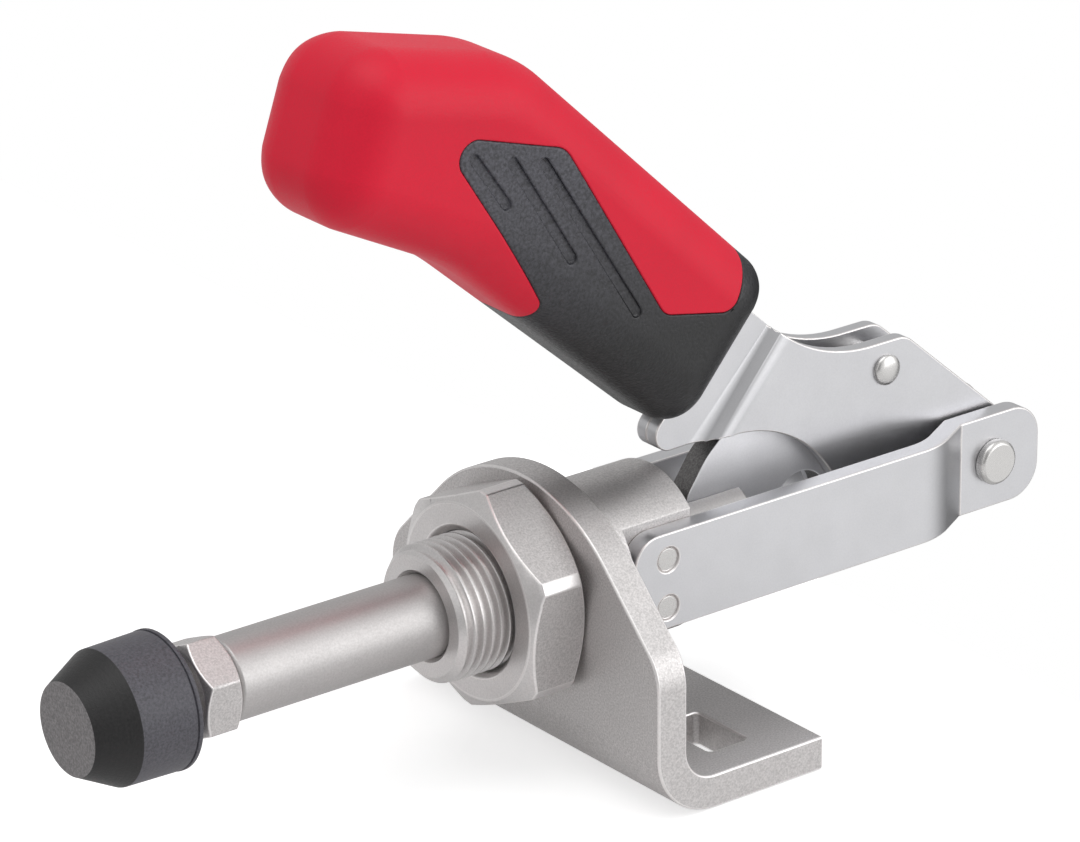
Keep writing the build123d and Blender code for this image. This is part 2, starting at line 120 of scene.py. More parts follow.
class EdgeSettings(bpy.types.PropertyGroup):
    """How far the sharp edges of the pieces are broken"""

    plate: FloatProperty(name="Plate edge", description="Rounding along the cut edges of the sheet-metal plates",
                         default=0.25 * MM, unit="LENGTH")
    bracket: FloatProperty(name="Bracket edge", description="Rounding along the edges of the bracket",
                           default=0.32 * MM, unit="LENGTH")
    turned: FloatProperty(name="Turned edge", description="Rounding along the edges of turned and hexagon pieces",
                          default=0.18 * MM, unit="LENGTH")
    nut: FloatProperty(name="Nut edge", description="Rounding along the edges of the large nut",
                       default=0.22 * MM, unit="LENGTH")
    bend: FloatProperty(name="Bend", description="Rounding along the bends of the handle plates",
                        default=1.45 * MM, unit="LENGTH")
    bore_reach: FloatProperty(name="Bore edge", description="Edges of the large nut nearer to its axis stay dull",
                              default=11 * MM, unit="LENGTH")
    corner_reach: FloatProperty(name="Nut corners", description="Axis to the flattened corners of the large nut",
                                default=16.85 * MM, unit="LENGTH")
    steps: IntProperty(name="Edge steps", description="Steps across a rounded edge", default=3, min=1)
    turned_steps: IntProperty(name="Turned steps", description="Steps across an edge of a turned or hexagon piece",
                              default=2, min=1)
    bend_steps: IntProperty(name="Bend steps", description="Steps across a bend", default=6, min=1)


class ThreadSettings(bpy.types.PropertyGroup):
    """The fine thread of the guide body"""

    radius: FloatProperty(name="Crest radius", description="Axis to the crests of the thread",
                          default=10 * MM, unit="LENGTH")
    pitch: FloatProperty(name="Pitch", description="Distance from one crest to the next",
                         default=1.5 * MM, unit="LENGTH")
    depth: FloatProperty(name="Depth", description="Crest to root, across the radius",
                         default=0.93 * MM, unit="LENGTH")
    lead_in: FloatProperty(name="Lead-in", description="Slope at the front end of the thread",
                           default=1.2 * MM, unit="LENGTH")
    bore: FloatProperty(name="Bore", description="Radius of the bore for the plunger",
                        default=6.05 * MM, unit="LENGTH")
    mouth: FloatProperty(name="Mouth", description="Slope at the mouth of the bore", default=0.6 * MM, unit="LENGTH")
    join: FloatProperty(name="Join", description="Where the thread meets the plain sleeve, inside the nut",
                        default=22 * MM, unit="LENGTH")
    steps: IntProperty(name="Steps per turn", description="Facets in one turn of the thread", default=72, min=12)


class CapSettings(bpy.types.PropertyGroup):
    """The rubber cap at the front"""

    radius: FloatProperty(name="Radius", description="Radius of the side behind", default=9.8 * MM, unit="LENGTH")
    shoulder: FloatProperty(name="Shoulder", description="Radius where the cone begins",
                            default=9.6 * MM, unit="LENGTH")
    face: FloatProperty(name="Face", description="Radius of the flat front face", default=6.6 * MM, unit="LENGTH")
    cone: FloatProperty(name="Cone", description="Length of the cone", default=5.8 * MM, unit="LENGTH")
    rim: FloatProperty(name="Rim", description="Thickness of the rim behind", default=0.62 * MM, unit="LENGTH")
    rim_rise: FloatProperty(name="Rim rise", description="How far the rim stands out of the side",
                            default=0.09 * MM, unit="LENGTH")
    groove: FloatProperty(name="Groove", description="Width of the fine groove ahead of the rim",
                          default=0.22 * MM, unit="LENGTH")
    edge: FloatProperty(name="Edge", description="Rounding along the edges of the cap",
                        default=0.09 * MM, unit="LENGTH")
    neck: FloatProperty(name="Neck", description="Radius of the hole for the screw", default=4.05 * MM, unit="LENGTH")
    wall: FloatProperty(name="Wall", description="Thickness of the wall behind the screw's head",
                        default=2.4 * MM, unit="LENGTH")
    hollow: FloatProperty(name="Hollow", description="Radius of the hollow for the screw's head",
                          default=6.55 * MM, unit="LENGTH")
    depth: FloatProperty(name="Depth", description="Length of the hollow", default=6.1 * MM, unit="LENGTH")
    steps: IntProperty(name="Steps round", description="Facets round the cap", default=96, min=12)


class RivetSettings(bpy.types.PropertyGroup):
    """The rivet that stops the handle, with its two round heads"""

    shank: FloatProperty(name="Shank", description="Radius of the shank in the plates",
                         default=2.0 * MM, unit="LENGTH")
    shoulder: FloatProperty(name="Shoulder", description="Radius between the plates", default=2.4 * MM, unit="LENGTH")
    shoulder_half: FloatProperty(name="Half gap", description="Half the length of the shoulder",
                                 default=2.13 * MM, unit="LENGTH")
    head: FloatProperty(name="Head", description="Radius of a head", default=2.35 * MM, unit="LENGTH")
    head_height: FloatProperty(name="Head height", description="Height of a head", default=1.1 * MM, unit="LENGTH")
    rim: FloatProperty(name="Head rim", description="Straight foot of a head", default=0.25 * MM, unit="LENGTH")
    steps: IntProperty(name="Steps round", description="Facets round the rivet", default=48, min=12)


class GripSettings(bpy.types.PropertyGroup):
    """The two plastics of the grip"""

    seam: FloatProperty(name="Seam edge", description="Rounding along the seam between the two plastics",
                        default=0.3 * MM, unit="LENGTH")
    cover_colour: FloatVectorProperty(name="Cover colour", description="Soft plastic of the cover",
                                      default=(0.79, 0.002, 0.032), subtype="COLOR", size=3, min=0, max=1)
    core_colour: FloatVectorProperty(name="Core colour", description="Hard plastic of the core",
                                     default=(0.014, 0.0138, 0.0168), subtype="COLOR", size=3, min=0, max=1)
    # Painted light on the core: the heights between which its colour runs from a shaded copy low to a lit copy high
    rubbed_from: FloatProperty(name="Painted light from", description="Height at which the core begins to turn grey",
                               default=62 * MM, unit="LENGTH")
    rubbed_to: FloatProperty(name="Painted light to", description="Height at which the core is greyest",
                             default=90 * MM, unit="LENGTH")


class FinishSettings(bpy.types.PropertyGroup):
    """Colours of the metal and of the rubber"""

    body_steel: FloatVectorProperty(name="Body steel", description="Tumbled steel of the bracket, sleeve and nuts",
                                    default=(0.60, 0.582, 0.578), subtype="COLOR", size=3, min=0, max=1)
    sheet_steel: FloatVectorProperty(name="Sheet steel", description="Satin steel of the plates and the link",
                                     default=(0.625, 0.625, 0.642), subtype="COLOR", size=3, min=0, max=1)
    pin_steel: FloatVectorProperty(name="Pin steel", description="Bright steel of the pins and rivets",
                                   default=(0.62, 0.61, 0.60), subtype="COLOR", size=3, min=0, max=1)
    rubber: FloatVectorProperty(name="Rubber", description="Grey rubber on the side of the pressure cap",
                                default=(0.085, 0.083, 0.098), subtype="COLOR", size=3, min=0, max=1)
    rubber_cone: FloatVectorProperty(name="Turned rubber", description="Dark rubber on the cone of the cap",
                                     default=(0.012, 0.0115, 0.012), subtype="COLOR", size=3, min=0, max=1)
    rubber_face: FloatVectorProperty(name="Worn rubber", description="Dusty rubber on the face of the cap",
                                     default=(0.222, 0.210, 0.214), subtype="COLOR", size=3, min=0, max=1)


class StageSettings(bpy.types.PropertyGroup):
    """The camera, the floor, the room and the lamps"""

    azimuth: FloatProperty(name="Azimuth", description="Where the camera stands round the clamp",
                           default=math.radians(142.125), subtype="ANGLE")
    elevation: FloatProperty(name="Elevation", description="How far the camera looks down",
                             default=math.radians(22.15), subtype="ANGLE")
    roll: FloatProperty(name="Roll", description="Turn of the camera about its own view",
                        default=math.radians(-0.422), subtype="ANGLE")
    place: FloatVectorProperty(name="Camera place", description="Where the camera stands",
                               default=(0.44446, 0.56022, 0.33788), subtype="TRANSLATION", size=3)
    lens: FloatProperty(name="Lens", description="Focal length on a 36 mm sensor", default=183.53, unit="CAMERA")
    shift: FloatVectorProperty(name="Shift", description="Shift of the frame, in widths of the image",
                               default=(-0.0270, -0.0036), size=2)
    floor_size: FloatProperty(name="Floor", description="Radius of the round floor", default=3.0, unit="LENGTH")
    floor_end: FloatProperty(name="Floor end", description="Where the floor ends, to let the handle swing below it",
                             default=-55 * MM, unit="LENGTH")
    floor_side: FloatProperty(name="Floor shade", description="Shade of the floor in reflections", default=0.88)
    floor_rear: FloatProperty(name="Rear shade", description="Shade of the floor behind, in reflections",
                              default=0.12)
    floor_ahead: FloatProperty(name="Shade ahead", description="Share of its shade that the floor keeps ahead of "
                               "the cap, in reflections", default=0.40)
    room_light: FloatProperty(name="Room light", description="Strength of the even light of the room", default=0.54)
    room_dim: FloatProperty(name="Dim side", description="Brightness of the room's dim side in reflections",
                            default=0.64)
    room_bright: FloatProperty(name="Bright side", description="Brightness of the room's bright side in reflections",
                               default=1.05)
    room_front: FloatProperty(name="Front side", description="Darkening of the room's front side in reflections",
                              default=0.40)
    room_push: FloatProperty(name="Push side", description="Brightening of the room ahead of the cap in reflections",
                             default=0.38)
    room_rear: FloatProperty(name="Rear side", description="Darkening of the room below and behind in reflections",
                             default=0.56)
    top_power: FloatProperty(name="Top lamp", description="Power of the large soft lamp overhead",
                             default=2.6, unit="POWER")
    side_power: FloatProperty(name="Side lamp", description="Power of the soft lamp at the bright side",
                              default=1.9, unit="POWER")


# ---------------------------------------------------------------- materials

class Nodes:
    """A node tree under construction. A value that a call takes is a number, a colour or a linked output."""

    def __init__(self, tree):
        self.tree = tree

    def feed(self, target, value):
        """Links an output to an input, or sets the input to a plain value."""
        if isinstance(value, bpy.types.NodeSocket):
            self.tree.links.new(value, target)
        else:
            target.default_value = value

    def node(self, kind, inputs=(), **settings):
        """Adds a node with its settings, and feeds its inputs by their labels or numbers."""
        made = self.tree.nodes.new("ShaderNode" + kind)
        for key, value in settings.items():
            setattr(made, key, value)
        for key, value in dict(inputs).items():
            self.feed(made.inputs[key], value)
        return made

    def calculate(self, operation, first, second):
        return self.node("Math", {0: first, 1: second}, operation=operation).outputs[0]

    def mix(self, factor, first, second, **settings):
        return self.node("Mix", {"Factor": factor, "A": first, "B": second}, **settings).outputs["Result"]

    def range(self, value, low, high, out_low, out_high, **settings):
        """Maps a value from one range to another."""
        inputs = {"Value": value, "From Min": low, "From Max": high, "To Min": out_low, "To Max": out_high}
        return self.node("MapRange", inputs, **settings).outputs["Result"]

    def toward(self, direction, side):
        """How far a direction points to a side."""
        return self.node("VectorMath", {0: direction, 1: side}, operation="DOT_PRODUCT").outputs["Value"]


class Finish(Nodes):
    """A material under construction"""

    def __init__(self, name):
        self.material = bpy.data.materials.new(name)
        self.material.use_nodes = True
        super().__init__(self.material.node_tree)

    def place(self, scale=(1, 1, 1)):
        """Object coordinates, stretched by a scale along each axis."""
        where = self.node("TexCoord").outputs["Object"]
        return self.node("Mapping", {"Vector": where, "Scale": scale}).outputs["Vector"]

    def along(self, axis):
        """The object coordinate along one axis."""
        return self.node("SeparateXYZ", {"Vector": self.place()}).outputs[axis]

    def noise(self, per_metre, detail, stretch=(1, 1, 1), roughness=0.5):
        """Noise with about this many features along a metre."""
        inputs = {"Vector": self.place(stretch), "Scale": per_metre, "Detail": detail, "Roughness": roughness}
        return self.node("TexNoise", inputs).outputs["Fac"]

    def spread(self, noise, half, low, high):
        """Spreads the values of a noise that lie within half of 0.5 over a range."""
        return self.range(noise, 0.5 - half, 0.5 + half, low, high)

    def blend(self, factor, first, second):
        """Mixes two colours, of which the first may be a linked one."""
        if not isinstance(first, bpy.types.NodeSocket):
            first = (*first, 1)
        return self.mix(factor, first, (*second, 1), data_type="RGBA")

    def tint(self, factor, colour):
        """A linked colour made lighter or darker by a factor."""
        return self.node("VectorMath", {"Vector": colour, "Scale": factor}, operation="SCALE").outputs["Vector"]

    def bump(self, height, depth, onto=None):
        """The normal of a surface with a relief of this depth, laid onto another relief if one is given."""
        made = self.node("Bump", {"Height": height, "Distance": depth})
        if onto is not None:
            self.feed(made.inputs["Normal"], onto)
        return made.outputs["Normal"]

    def finished(self, inputs):
        """Feeds the surface and gives the material."""
        for label, value in inputs.items():
            self.feed(self.tree.nodes["Principled BSDF"].inputs[label], value)
        return self.material


def shaded(colour, factor):
    return tuple(min(1.0, channel * factor) for channel in colour)


def steel(name, colour, rough, grain, marks, mark_depth, pit_depth, mark_stretch=(1, 1, 1)):
    """Stainless steel: a fine grain in its colour, marks of the finish along one direction, and fine pits."""
    finish = Finish(name)
    cloud = finish.noise(180, 4)
    speck = finish.noise(3600, 2, roughness=0.6)
    cloudy = finish.blend(finish.spread(cloud, 0.2, 0, 1), shaded(colour, 0.975), shaded(colour, 1.02))
    brushed = finish.bump(finish.noise(marks, 2, mark_stretch), mark_depth)
    return finish.finished({
        "Base Color": finish.tint(finish.spread(speck, 0.18, 1 - grain, 1 + grain), cloudy),
        "Metallic": 1,
        "Roughness": finish.spread(speck, 0.2, rough + 0.05, rough - 0.05),
        "Normal": finish.bump(speck, pit_depth, brushed),
    })


def tumbled_steel():
    """Steel of the bracket and the nuts, dull from the drum."""
    return steel("tumbled_steel", bpy.context.scene.clamp_finish.body_steel, rough=0.50, grain=0.15,
                 marks=1400, mark_depth=10 * MICRON, pit_depth=14 * MICRON)


def sleeve_steel():
    """Tumbled steel of the sleeve, with deeper pits."""
    return steel("sleeve_steel", bpy.context.scene.clamp_finish.body_steel, rough=0.54, grain=0.15,
                 marks=1400, mark_depth=10 * MICRON, pit_depth=18 * MICRON)


def turned_steel_painted_glint():
    """Brighter steel with fine marks round the X axis: partly its smoother turned finish, and partly a colour raised
    as a painted highlight for the bright sweep that turned faces catch.
    """
    return steel("turned_steel_painted_glint", shaded(bpy.context.scene.clamp_finish.body_steel, 1.14), rough=0.36, grain=0.06,
                 marks=3500, mark_depth=10 * MICRON, pit_depth=6 * MICRON, mark_stretch=(1, 0.02, 0.02))


def drawn_steel():
    """Steel of the plunger, with faint marks along it from drawing and use."""
    return steel("drawn_steel", shaded(bpy.context.scene.clamp_finish.body_steel, 0.88), rough=0.49, grain=0.05,
                 marks=2600, mark_depth=6 * MICRON, pit_depth=5 * MICRON, mark_stretch=(0.03, 1, 1))


def satin_sheet():
    """Smooth sheet of the plates, with fine marks along X."""
    return steel("satin_sheet", bpy.context.scene.clamp_finish.sheet_steel, rough=0.36, grain=0.018,
                 marks=3200, mark_depth=4 * MICRON, pit_depth=3 * MICRON, mark_stretch=(0.04, 1, 1))


def link_sheet_painted_light():
    """The sheet of the link, with its colour raised as painted light for the light that reaches the link between the
    plates.
    """
    return steel("link_sheet_painted_light", shaded(bpy.context.scene.clamp_finish.sheet_steel, 1.38), rough=0.52, grain=0.02,
                 marks=3200, mark_depth=4 * MICRON, pit_depth=3 * MICRON, mark_stretch=(0.04, 1, 1))


def sheared_edge_painted_shade():
    """Darker steel with coarse marks where a plate was punched out, and darker still as painted shade where the
    link's cut edges sit between the handle plates.
    """
    return steel("sheared_edge_painted_shade", shaded(bpy.context.scene.clamp_finish.body_steel, 0.3), rough=0.45, grain=0.25,
                 marks=2200, mark_depth=20 * MICRON, pit_depth=20 * MICRON, mark_stretch=(1, 0.2, 1))


def worn_edge_painted_glint():
    """Bright steel along the edges: partly where handling has polished them, and partly a colour raised as a painted
    highlight along the edges.
    """
    return steel("worn_edge_painted_glint", shaded(bpy.context.scene.clamp_finish.body_steel, 1.36), rough=0.38, grain=0.06,
                 marks=1500, mark_depth=4 * MICRON, pit_depth=4 * MICRON)


def bright_pin():
    """Smooth bright steel of the pins and rivets."""
    return steel("bright_pin", bpy.context.scene.clamp_finish.pin_steel, rough=0.26, grain=0.02,
                 marks=1500, mark_depth=3 * MICRON, pit_depth=1 * MICRON)


def soft_cover():
    """Soft red plastic with a fine matt grain."""
    colour = bpy.context.scene.clamp_grip.cover_colour
    finish = Finish("soft_cover")
    cloud = finish.noise(70, 3)
    tone = finish.blend(finish.spread(cloud, 0.15, 0, 1), shaded(colour, 0.97), shaded(colour, 1.03))
    grain = finish.noise(3400, 2)
    return finish.finished({
        "Base Color": finish.tint(finish.spread(grain, 0.2, 0.965, 1.035), tone),
        "Roughness": finish.spread(grain, 0.2, 0.44, 0.56),
        "Normal": finish.bump(grain, 14 * MICRON),
        "Specular IOR Level": 0.42,
        "Sheen Weight": 0.05,
        "Sheen Roughness": 0.4,
        "Sheen Tint": (1.0, 0.25, 0.40, 1),
    })


def hard_core():
    """Black plastic with the fine eroded grain of its mould, and painted light: lighter towards its upper end and
    darker low, standing in for the light and reflections that its upper end catches.
    """
    grip = bpy.context.scene.clamp_grip
    finish = Finish("hard_core")
    grain = finish.noise(2100, 3, roughness=0.55)
    # Painted light: a shaded copy of the core's colour low and a lit copy high
    painted_light_share = finish.range(finish.along("Z"), grip.rubbed_from, grip.rubbed_to, 0, 1)
    tone = finish.blend(painted_light_share, shaded(grip.core_colour, 0.35), shaded(grip.core_colour, 4.3))
    return finish.finished({
        "Base Color": finish.tint(finish.spread(grain, 0.16, 0.5, 1.5), tone),
        "Roughness": finish.spread(grain, 0.2, 0.46, 0.30),
        "Normal": finish.bump(grain, 110 * MICRON),
        "Specular IOR Level": 0.52,
    })


def cap_rubber():
    """Rubber with a dusty speckle: grey on its side, dark with turning marks on the cone, paler on the worn face."""
    colours = bpy.context.scene.clamp_finish
    cap = bpy.context.scene.clamp_cap
    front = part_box("rubber_cap")[1][0]
    finish = Finish("cap_rubber")
    along = finish.along("X")
    edge = 0.04 * MM
    on_cone = finish.range(along, front - cap.cone - edge, front - cap.cone + edge, 0, 1)
    on_face = finish.range(along, front - 2 * edge, front - edge, 0, 1)
    tone = finish.blend(on_cone, colours.rubber, colours.rubber_cone)
    tone = finish.blend(on_face, tone, colours.rubber_face)
    speck = finish.noise(2800, 3, roughness=0.65)
    turning = finish.noise(2600, 2, (1, 0.015, 0.015))
    return finish.finished({
        "Base Color": finish.tint(finish.spread(speck, 0.16, 0.66, 1.34), tone),
        "Roughness": finish.spread(speck, 0.2, 0.40, 0.54),
        "Normal": finish.bump(speck, 40 * MICRON, finish.bump(turning, 30 * MICRON)),
        "Specular IOR Level": 0.5,
    })


def finish_named(maker):
    """The material that a maker gives, made once."""
    found = bpy.data.materials.get(maker.__name__)
    return found if found else maker()


# ---------------------------------------------------------------- mesh tools

def body_of_node(node):
    """The body that a CAD node rides on."""
    for body, members in frame["record"]["behaviour"]["bodies"].items():
        if node in members:
            return body
    raise RuntimeError("no body holds the node " + node)


def slot_of_node(node):
    """The material slot that the record gives a node."""
    for row in frame["record"]["subparts"]:
        if row["node"] == node:
            return row["material_slot"]
    raise RuntimeError("the record has no node " + node)


def corners_of(node):
    """The two far corners of a CAD node's box."""
    return [Vector(corner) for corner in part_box(node)]


def welded(node, distance=WELD):
    """A merged copy of a CAD node, with its flat faces put back together."""
    mesh = bmesh.new()
    mesh.from_mesh(frame["nodes"][node].data)
    bmesh.ops.remove_doubles(mesh, verts=mesh.verts, dist=distance)
    bmesh.ops.dissolve_limit(mesh, angle_limit=FLAT_ANGLE, verts=mesh.verts, edges=mesh.edges)
    return mesh


def sharp_edges(mesh, angle):
    return [edge for edge in mesh.edges if edge.is_manifold and edge.calc_face_angle(0) > angle]


def bend_edges(mesh):
    """The edges where the flats of a bent plate meet."""
    return [edge for edge in sharp_edges(mesh, BEND_ANGLE)
            if all(abs(face.normal.y) > BEND_FACING for face in edge.link_faces)]


def round_edges(mesh, edges, width, steps):
    """Rounds edges of a mesh and gives the new faces."""
    made = bmesh.ops.bevel(mesh, geom=edges, offset=width, offset_type="OFFSET", segments=steps, profile=0.5,
                           affect="EDGES", clamp_overlap=False, material=-1)
    return made["faces"]


def break_edges(mesh, width, steps):
    """Rounds every sharp edge of a mesh and gives the new faces."""
    return round_edges(mesh, sharp_edges(mesh, BREAK_ANGLE), width, steps)


def cut_plane(mesh, place, normal, **clear):
    """Cuts a mesh along a plane, and clears it on one side of the plane if asked to."""
    return bmesh.ops.bisect_plane(mesh, geom=mesh.verts[:] + mesh.edges[:] + mesh.faces[:], plane_co=place,
                                  plane_no=normal, **clear)


def chain(mesh, points):
    """Adds a row of points, each joined to the next."""
    row = [mesh.verts.new(point) for point in points]
    for first, second in zip(row, row[1:]):
        mesh.edges.new((first, second))


def turned(profile, place, axis, steps):
    """A closed shape of revolution: each row of its profile is a place along the axis and a radius."""
    mesh = bmesh.new()
    chain(mesh, [Vector(place) + Vector(axis) * along + Vector((0, 0, radius)) for along, radius in profile])
    bmesh.ops.spin(mesh, geom=mesh.verts[:] + mesh.edges[:], cent=place, axis=axis, dvec=(0, 0, 0),
                   angle=math.tau, steps=steps, use_merge=True, use_duplicate=False)
    bmesh.ops.remove_doubles(mesh, verts=mesh.verts, dist=WELD)
    bmesh.ops.recalc_face_normals(mesh, faces=mesh.faces)
    return mesh


def added(mesh, other):
    """Puts a second mesh into the first and lets the second go."""
    data = bpy.data.meshes.new("added")
    other.to_mesh(data)
    other.free()
    mesh.from_mesh(data)
    bpy.data.meshes.remove(data)


def paint(faces, index):
    """Gives faces the material of this number."""
    for face in faces:
        face.material_index = index


def new_piece(mesh, node, *materials):
    """Makes the piece of a finished mesh, which stands for a CAD node and rides where it rides."""
    for face in mesh.faces:
        face.smooth = True
    for edge in mesh.edges:
        edge.smooth = not (edge.is_manifold and edge.calc_face_angle(0) > SHARP_ANGLE)
    name = node + "_finished"
    data = bpy.data.meshes.new(name)
    mesh.to_mesh(data)
    mesh.free()
    for material in materials:
        data.materials.append(material)
    piece = bpy.data.objects.new(name, data)
    bpy.context.scene.collection.objects.link(piece)
    even = piece.modifiers.new("Even shading", "WEIGHTED_NORMAL")
    even.keep_sharp = True
    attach(piece, body_of_node(node))
    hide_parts(node)


def dress(node, width, steps, *materials):
    """A copy of a CAD node with broken edges and a finish, and another finish on its edges if one is given."""
    mesh = welded(node)
    paint(mesh.faces, 0)
    paint(break_edges(mesh, width, steps), len(materials) - 1)
    new_piece(mesh, node, *materials)


def boundary_at(mesh, place):
    """The open edges of a mesh at a place along X."""
    return [edge for edge in mesh.edges if edge.is_boundary
            and all(abs(vert.co.x - place) < AT_PLACE for vert in edge.verts)]


def extruded(mesh, edges, scale, shift):
    """Extrudes a ring of edges about the X axis to another radius and place, and gives its new edges."""
    made = bmesh.ops.extrude_edge_only(mesh, edges=edges)["geom"]
    verts = [item for item in made if isinstance(item, bmesh.types.BMVert)]
    bmesh.ops.scale(mesh, vec=(1, scale, scale), verts=verts)
    bmesh.ops.translate(mesh, vec=(shift, 0, 0), verts=verts)
    return [item for item in made if isinstance(item, bmesh.types.BMEdge) and item.is_boundary]


# One pitch of the thread: places along it, and how deep it is there, as shares of its pitch and depth
THREAD_PROFILE = ((0, 1), (0.12, 1), (0.22, 0.78), (0.36, 0.16), (0.43, 0), (0.57, 0), (0.64, 0.16), (0.78, 0.78),
                  (0.88, 1), (1, 1))
SPARE_TURNS = 2             # swept behind the join, and then cut off


def threaded_end(front, height, thread):
    """The front end of the guide body: one pitch of thread swept along its helix, cut to length and closed."""
    mesh = bmesh.new()
    turns = math.ceil((front - thread.join) / thread.pitch) + SPARE_TURNS
    start = thread.join - SPARE_TURNS * thread.pitch
    chain(mesh, [(start + along * thread.pitch, 0, thread.radius - down * thread.depth)
                 for along, down in THREAD_PROFILE])
    bmesh.ops.spin(mesh, geom=mesh.verts[:] + mesh.edges[:], cent=(0, 0, 0), axis=(1, 0, 0),
                   dvec=(thread.pitch / thread.steps, 0, 0), angle=math.tau * turns, steps=thread.steps * turns,
                   use_merge=False, use_duplicate=False)
    bmesh.ops.remove_doubles(mesh, verts=mesh.verts, dist=THREAD_WELD)
    lead_start = front - thread.lead_in
    cut_plane(mesh, (thread.join, 0, 0), (1, 0, 0), clear_inner=True)
    cut_plane(mesh, (front, 0, 0), (1, 0, 0), clear_outer=True)
    cut_plane(mesh, (lead_start, 0, 0), (1, 0, 0))
    for vert in mesh.verts:
        limit = thread.radius - max(0, vert.co.x - lead_start)
        reach = math.hypot(vert.co.y, vert.co.z)
        if reach > limit:
            vert.co.yz = vert.co.yz * (limit / reach)
    bmesh.ops.recalc_face_normals(mesh, faces=mesh.faces)
    end_radius = thread.radius - thread.lead_in
    mouth_radius = thread.bore + thread.mouth
    ring = extruded(mesh, boundary_at(mesh, front), mouth_radius / end_radius, 0)
    ring = extruded(mesh, ring, thread.bore / mouth_radius, -thread.mouth)
    extruded(mesh, ring, 1, thread.join + thread.mouth - front)
    bmesh.ops.triangle_fill(mesh, edges=boundary_at(mesh, thread.join), use_beauty=True)
    bmesh.ops.recalc_face_normals(mesh, faces=mesh.faces)
    bmesh.ops.translate(mesh, vec=(0, 0, height), verts=mesh.verts)
    return mesh


def flatten_corners(mesh, height, reach):
    """Cuts the corners of a hexagon nut flat, at a distance from its axis, and gives the new faces number 1."""
    about = [(vert.co.y, vert.co.z - height) for vert in mesh.verts]
    limit = max(math.hypot(y, z) for y, z in about) - AT_CORNER
    far = [HEXAGON * math.atan2(z, y) for y, z in about if math.hypot(y, z) > limit]
    turn = math.atan2(sum(map(math.sin, far)), sum(map(math.cos, far))) / HEXAGON
    for corner in range(HEXAGON):
        angle = turn + corner * math.tau / HEXAGON
        out = Vector((0, math.cos(angle), math.sin(angle)))
        cut = cut_plane(mesh, Vector((0, 0, height)) + out * reach, out, clear_outer=True)
        rim = [item for item in cut["geom_cut"] if isinstance(item, bmesh.types.BMEdge)]
        paint(bmesh.ops.holes_fill(mesh, edges=rim, sides=0)["faces"], 1)


# ---------------------------------------------------------------- pieces

class CLAMP_OT_bracket(bpy.types.Operator):
    """Dresses the bent bracket"""

    bl_idname = "clamp.bracket"
    bl_label = "Bracket"

    def execute(self, context):
        edges = context.scene.clamp_edges
        dress("mounting_bracket", edges.bracket, edges.steps, finish_named(tumbled_steel), finish_named(worn_edge_painted_glint))
        return {"FINISHED"}


class CLAMP_OT_guide(bpy.types.Operator):
    """Cuts the fine thread on the front end of the guide body"""

    bl_idname = "clamp.guide"
    bl_label = "Guide body"

    def execute(self, context):
        edges = context.scene.clamp_edges
        thread = context.scene.clamp_thread
        low, high = corners_of("guide_body")
        mesh = welded("guide_body")
        break_edges(mesh, edges.turned, edges.turned_steps)
        cut_plane(mesh, (thread.join, 0, 0), (1, 0, 0), clear_outer=True)
        bmesh.ops.triangle_fill(mesh, edges=boundary_at(mesh, thread.join), use_beauty=True)
        paint(mesh.faces, 0)
        added(mesh, threaded_end(high.x, (low.z + high.z) / 2, thread))
        paint([face for face in mesh.faces if face.calc_center_median().x > thread.join], 1)
        new_piece(mesh, "guide_body", finish_named(sleeve_steel), finish_named(turned_steel_painted_glint))
        return {"FINISHED"}


class CLAMP_OT_nuts(bpy.types.Operator):
    """Dresses the two hexagon nuts"""

    bl_idname = "clamp.nuts"
    bl_label = "Nuts"

    def execute(self, context):
        edges = context.scene.clamp_edges
        dress("lock_nut", edges.turned, edges.turned_steps, finish_named(tumbled_steel), finish_named(worn_edge_painted_glint))
        low, high = corners_of("bracket_nut")
        middle = (low.yz + high.yz) / 2
        mesh = welded("bracket_nut", NUT_WELD)
        paint(mesh.faces, 0)
        flatten_corners(mesh, middle.y, edges.corner_reach)
        paint([face for face in mesh.faces if abs(face.normal.x) > NUT_TURNED], 2)
        paint([face for face in break_edges(mesh, edges.nut, edges.turned_steps)
               if (face.calc_center_median().yz - middle).length > edges.bore_reach], 1)
        new_piece(mesh, "bracket_nut", finish_named(tumbled_steel), finish_named(worn_edge_painted_glint),
                  finish_named(turned_steel_painted_glint))
        return {"FINISHED"}


class CLAMP_OT_plates(bpy.types.Operator):
    """Dresses the side plates, the handle plates and the link"""

    bl_idname = "clamp.plates"
    bl_label = "Plates"

    def execute(self, context):
        edges = context.scene.clamp_edges
        sheet = finish_named(satin_sheet)
        # The bright edge finish is partly polished wear and partly painted highlight
        worn = finish_named(worn_edge_painted_glint)
        for node in ("side_plate_left", "side_plate_right"):
            dress(node, edges.plate, edges.steps, sheet, worn)
        for node in ("handle_plate_left", "handle_plate_right"):
            mesh = welded(node)
            round_edges(mesh, bend_edges(mesh), edges.bend, edges.bend_steps)
            paint(mesh.faces, 0)
            paint(break_edges(mesh, edges.plate, edges.steps), 1)
            new_piece(mesh, node, sheet, worn)
        mesh = welded("toggle_link")
        break_edges(mesh, edges.plate, edges.steps)
        paint(mesh.faces, 1)
        paint([face for face in mesh.faces if abs(face.normal.y) > LINK_FACING], 0)
        # Painted light: the link's flat sides get a brightened sheet colour, and its cut edges a colour darkened
        # partly by painted shade
        new_piece(mesh, "toggle_link", finish_named(link_sheet_painted_light), finish_named(sheared_edge_painted_shade))
        return {"FINISHED"}


